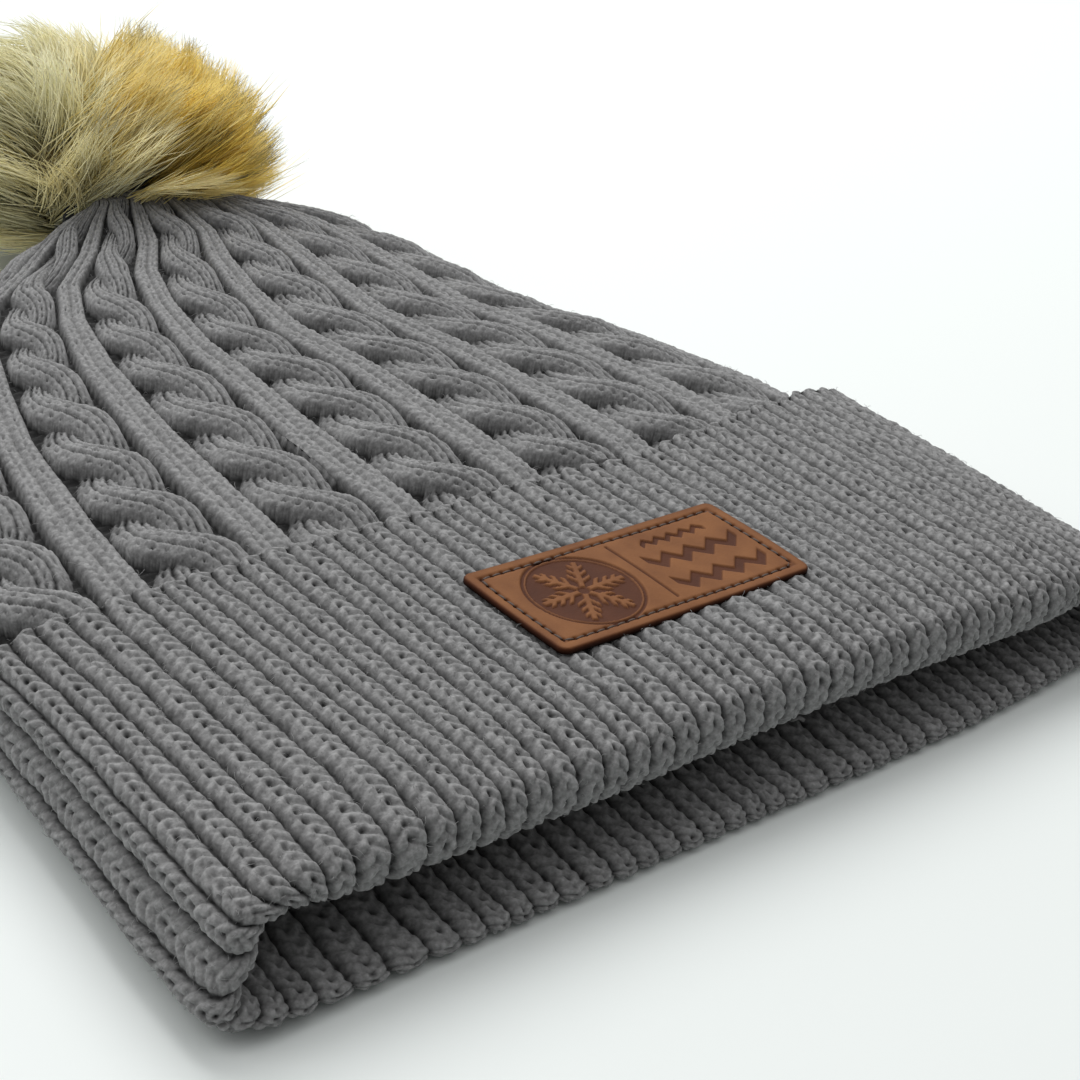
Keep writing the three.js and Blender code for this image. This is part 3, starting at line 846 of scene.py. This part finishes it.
# a felt ring about the snap's axis, its edges eased
def feltRing(name, inner, outer, near, far, body, node):
    work = bmesh.new()
    corners = [(outer, near), (outer, far), (inner, far), (inner, near)]
    verts = [work.verts.new((pom["x"] + r, pom["y"] + y + mouthY, pom["z"])) for r, y in corners]
    edges = [work.edges.new((verts[k], verts[(k + 1) % 4])) for k in range(4)]
    bmesh.ops.spin(work, geom=verts + edges, cent=(pom["x"], 0, pom["z"]), axis=(0, 1, 0),
                   angle=2 * math.pi, steps=56, use_merge=True)
    bmesh.ops.remove_doubles(work, verts=work.verts, dist=1e-4)
    sharp = [e for e in work.edges if len(e.link_faces) == 2 and e.calc_face_angle(0) > 1]
    bmesh.ops.bevel(work, geom=sharp, offset=0.35, segments=3, profile=0.5, affect="EDGES", material=-1)
    bmesh.ops.scale(work, verts=work.verts, vec=(mm, mm, mm))
    fromWork(work, name, feltGrey, body, [node])


feltRing("felt_washer", 2.0, 5.2, -6.0, -4.5, "crown_tip", "tip_felt_washer")
feltRing("felt_base_disc", 1.85, 13.0, 5.7, 6.9, "pom", "pom_base_disc")


sewnLabel = {"x": 29.0, "y": 40.0, "width": 22.0, "height": 30.0}


# woven satin label, blank, lying on the band behind the mouth
def careLabel():
    work = bmesh.new()
    bmesh.ops.create_grid(work, x_segments=44, y_segments=60, size=1)
    for v in work.verts:
        x, y = v.co.x * sewnLabel["width"] / 2, v.co.y * sewnLabel["height"] / 2
        ripple = 0.5 * math.sin(x * 0.35 + y * 0.1) * (1 - (y + 15) / 34)
        z = bandFloor + 0.75 + ripple + 0.9 * ((15 - y) / 30) ** 3
        v.co = ((sewnLabel["x"] + x) * mm, (sewnLabel["y"] + y + mouthY) * mm, z * mm)
    bmesh.ops.solidify(work, geom=work.faces[:], thickness=-0.25 * mm)
    # satin: off-white with a smooth sheen
    satin = surface("Blank_white_satin", "#e9e7e0", 0.35)[0]
    label = fromWork(work, "satin_label", satin, "hat", ["care_label"])
    work = bmesh.new()
    for k in range(8):
        x, y = sewnLabel["x"] - 8.4 + k * 2.4, sewnLabel["y"] + 13
        spot = Matrix.Translation((x, y + mouthY, bandFloor + 1.55))
        size = Matrix.Diagonal((1.0, 0.25, 0.2, 1))
        bmesh.ops.create_uvsphere(work, u_segments=10, v_segments=6, radius=1, matrix=spot @ size)
    bmesh.ops.scale(work, verts=work.verts, vec=(mm, mm, mm))
    # sewing thread: white, dull
    fromWork(work, "label_thread", surface("White_thread", "#dedbd2", 0.6)[0], "hat",
             ["care_label_stitch"])


careLabel()

# nickel-plated snap parts: bright, a little brushed
nickel = surface("Nickel_plated_steel", "#b9bcc0", 0.28, 1.0)[0]
for name in ("snap_cap", "snap_stud", "snap_socket", "snap_spring_ring", "snap_socket_cap"):
    node = bpy.data.objects[name]
    node.data.materials.clear()
    node.data.materials.append(nickel)
print("snap, felt and seams in place")


# the pom's soft ball, pressed flatter where it lies on the table
def pomBall(name, radii, material, node, seed):
    work = bmesh.new()
    bmesh.ops.create_icosphere(work, subdivisions=5, radius=1)
    for v in work.verts:
        n = v.co.normalized()
        swell = 1 + 0.02 * math.sin(n.x * 5 + seed) * math.sin(n.y * 6 - seed) * math.sin(n.z * 4)
        z = n.z * radii[2] * (1.0 if n.z > 0 else 0.74)
        v.co = ((pom["x"] + n.x * radii[0] * swell) * mm,
                (pom["y"] + pom["back"] + n.y * radii[1] * swell + mouthY) * mm, (pom["z"] + z) * mm)
    return fromWork(work, name, material, "pom", [node])


# wadding: white, without any shine; backing: a dull olive-tan cloth
wadding = surface("White_wadding", "#f2f1ec", 0.95)[0]
backing = surface("Tan_knit_backing", "#7d6f4c", 0.95)[0]
padding = pomBall("pom_padding", (24.5, 18.2, 18.6), wadding, "pom_filling", 1.0)
pomBall("pom_knit_backing", (26, 19.5, 20.0), backing, "pom_backing", 2.0)


# long-pile acrylic fur: soft sheen, colour from each strand
def furMaterial():
    material, tree, shader = surface("Long_pile_faux_fur", "#b7a27c", 0.55)
    tint = addNode(tree, "ShaderNodeAttribute", {"attribute_name": "tint"})
    tree.links.new(tint.outputs["Color"], shader.inputs["Base Color"])
    tree.links.new(tint.outputs["Color"], shader.inputs["Sheen Tint"])
    shader.inputs["Sheen Weight"].default_value = 0.8
    shader.inputs["Sheen Roughness"].default_value = 0.4
    shader.inputs["Specular IOR Level"].default_value = 0.4
    return material


viewRight = np.array([0.74, -0.66, 0.15])
viewUp = np.array([0.22, 0.45, 0.87])


# a lock leans away from the snap, and is brushed out to the two sides of a parting
def brushed(n):
    side = n @ viewRight - 0.12
    left = smoothstep(0.16, -0.10, side)[:, None]
    right = 1 - left
    lean = 0.5 * np.array([0, 1.0, 0.1]) * (0.3 + 0.7 * smoothstep(-0.9, 0.1, n[:, 1:2]))
    lean = lean + left * (-1.25 * viewRight + 0.10 * viewUp) + right * (0.45 * viewRight + 0.55 * viewUp)
    return unit(n + 0.85 * lean)


# a share of the pile: strands gathered in locks, rooted in the core and ending on the outer ball
def furPiece(name, strands, locks, seed):
    many = strandTemplate(strands, (-0.34, 0.34))
    dice = np.random.default_rng(seed)
    axis = unit(dice.normal(size=(locks * 3, 3)))
    axis = axis[(axis[:, 1] > -0.96)][:locks]
    member = dice.integers(0, len(axis), strands)
    n = unit(axis[member] + 0.13 * dice.normal(size=(strands, 3)))
    tipWay = unit(brushed(axis)[member] + 0.06 * dice.normal(size=(strands, 3)))
    core, reach = np.array(pom["core"]), np.array(pom["reach"])
    centre = np.array([pom["x"] + 1, pom["y"] + pom["back"], pom["z"]])
    outerCentre = np.array(pom["outer"])
    length = (0.93 + 0.07 * dice.normal(size=len(axis)))[member] * (1 - 0.14 * dice.random(strands) ** 2)
    stray = dice.random(strands) < 0.01
    length = np.where(stray, length * 1.15, np.minimum(length, 1.03))
    root = centre + core * n
    end = outerCentre + reach * tipWay * length[:, None]
    bend = outerCentre + reach * unit(n + 0.55 * tipWay) * (0.84 * length)[:, None]
    end[:, 2] = np.maximum(end[:, 2], 0.5 + 2 * dice.random(strands))
    bend[:, 2] = np.maximum(bend[:, 2], 1.2)
    root[:, 2] = np.maximum(root[:, 2], 2.0)
    k = np.array([0.0, 0.33, 0.68, 1.0])
    path = ((1 - k) ** 2)[None, :, None] * root[:, None] + (2 * k * (1 - k))[None, :, None] * bend[:, None]
    path = path + (k ** 2)[None, :, None] * end[:, None]
    keepClear(path)
    thick = (0.11 + 0.07 * dice.random(strands))[:, None] * np.array([1.0, 1.0, 0.75, 0.1])[None, :]
    path[..., 1] += mouthY
    level = layStrands(many, path, thick, dice)
    tint = furTint(axis, member, dice)[:, level]
    flat = np.ones((strands, len(level), 4))
    flat[..., :3] = tint
    colours = many.attributes.new("tint", "FLOAT_COLOR", "POINT")
    colours.data.foreach_set("color", flat.ravel().astype(np.float32))
    many.name = name
    finished(name, many, furTone, "pom", ["pom_fur"])


# strands near the hat bend up over its gathered end
def keepClear(path):
    y, z = path[..., 1], path[..., 2]
    over = smoothstep(pom["y"] + 1, pom["y"] - 8, y)
    low = z < 31
    path[..., 2] = np.where(low, z + over * (31 - z) * 0.8, z)
    path[..., 1] = np.where(low & (z < 24), np.maximum(y, pom["y"] + 2.0), y)


furColours = {"root": "#5c543c", "shade": "#aca57c", "cream": "#fdf9d2", "ochre": "#ffdf68",
              "tip": "#4f4839"}


# cream on the left, ochre on the right and low down, darker at the root, with some dark tips
def furTint(axis, member, dice):
    shades = {key: np.array(linear(value)[:3]) for key, value in furColours.items()}
    side, rise = axis @ viewRight, axis @ viewUp
    golden = smoothstep(0.1, 0.55, side) * 0.95
    golden = golden + smoothstep(-0.6, -0.9, side) * smoothstep(0.4, -0.1, rise)
    golden = np.clip(golden + 0.22 * dice.normal(size=len(axis)), 0, 1)[member][:, None]
    grey = np.clip(0.3 + 0.4 * dice.normal(size=len(axis)), 0, 1)[member][:, None]
    dark = (dice.random(len(axis)) < 0.08 + 0.34 * smoothstep(0.5, 0.85, side))[member][:, None]
    body = shades["cream"] * (1 - golden) + shades["ochre"] * golden
    body = body * (1 - 0.45 * grey) + shades["shade"] * 0.45 * grey
    body = body * (0.98 + 0.2 * dice.random((len(member), 1)))
    tip = np.where(dark, shades["tip"], body * 1.05)
    low = shades["root"] * 0.5 + body * 0.5
    mid = shades["shade"] * 0.18 + body * 0.82
    return np.stack([low, mid, body, tip], axis=1)


furTone = furMaterial()
for k in range(pom["pieces"]):
    count = pom["strands"] // pom["pieces"] // 1
    furPiece("pom_pile_%d" % (k + 1), count, 150, 40 + k)
print("fur brushed")


# a pale, even floor under a soft dome and two round lamps
def studio():
    floorMesh = bpy.data.meshes.new("floor")
    work = bmesh.new()
    bmesh.ops.create_grid(work, x_segments=1, y_segments=1, size=30)
    work.to_mesh(floorMesh)
    work.free()
    floor = bpy.data.objects.new("floor", floorMesh)
    bpy.context.scene.collection.objects.link(floor)
    material, tree, shader = surface("Pale_studio_floor", "#eef3f1", 0.6)
    floor.data.materials.append(material)
    floor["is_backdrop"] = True
    world = bpy.data.worlds.new("studio")
    bpy.context.scene.world = world
    world.use_nodes = True
    # a soft dome, brighter above and behind than in front
    tree, sky = world.node_tree, world.node_tree.nodes["Background"]
    around = addNode(tree, "ShaderNodeTexCoord")
    facing = addNode(tree, "ShaderNodeVectorMath", {"operation": "DOT_PRODUCT"},
                     {0: around.outputs["Generated"]})
    facing.inputs[1].default_value = (0.2, 0.55, 0.81)
    glow = ramp(tree, facing.outputs["Value"], [(0.0, "#7c7c7c"), (0.9, "#ffffff")])
    tree.links.new(glow.outputs["Color"], sky.inputs["Color"])
    sky.inputs["Strength"].default_value = 0.82
    for name, place, size, power in (("key", (0.45, 0.75, 1.1), 1.0, 12),
                                     ("fill", (-0.9, 0.3, 0.9), 1.0, 3)):
        light = bpy.data.lights.new(name, "AREA")
        light.shape = "DISK"
        light.size = size
        light.energy = power
        lamp = bpy.data.objects.new(name, light)
        lamp.location = place
        lamp.rotation_mode = "QUATERNION"
        lamp.rotation_quaternion = (-Vector(place)).to_track_quat("-Z", "Y")
        bpy.context.scene.collection.objects.link(lamp)
        lamp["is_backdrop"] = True


view = {"azimuth": 46.41, "elevation": 28.36, "roll": 10.13, "lens": 75.4,
        "place": (-0.2638, -0.3313, 0.2156)}


def camera():
    azimuth, elevation, roll = (math.radians(view[key]) for key in ("azimuth", "elevation", "roll"))
    ahead = Vector((math.sin(azimuth) * math.cos(elevation), math.cos(azimuth) * math.cos(elevation),
                    -math.sin(elevation)))
    right = ahead.cross(Vector((0, 0, 1))).normalized()
    up = right.cross(ahead)
    across = right * math.cos(roll) + up * math.sin(roll)
    upward = -right * math.sin(roll) + up * math.cos(roll)
    lens = bpy.data.cameras.new("camera")
    lens.lens = view["lens"]
    lens.sensor_width = 36
    lens.clip_start = 0.01
    eye = bpy.data.objects.new("camera", lens)
    turn = Matrix((across, upward, -ahead)).transposed().to_4x4()
    eye.matrix_world = Matrix.Translation(view["place"]) @ turn
    bpy.context.scene.collection.objects.link(eye)
    bpy.context.scene.camera = eye


studio()
camera()
bpy.context.scene.view_settings.view_transform = "Standard"

print("floor, light and camera set")
faces = sum(len(o.data.polygons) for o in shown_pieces() if o.type == "MESH")
print("faces", faces)
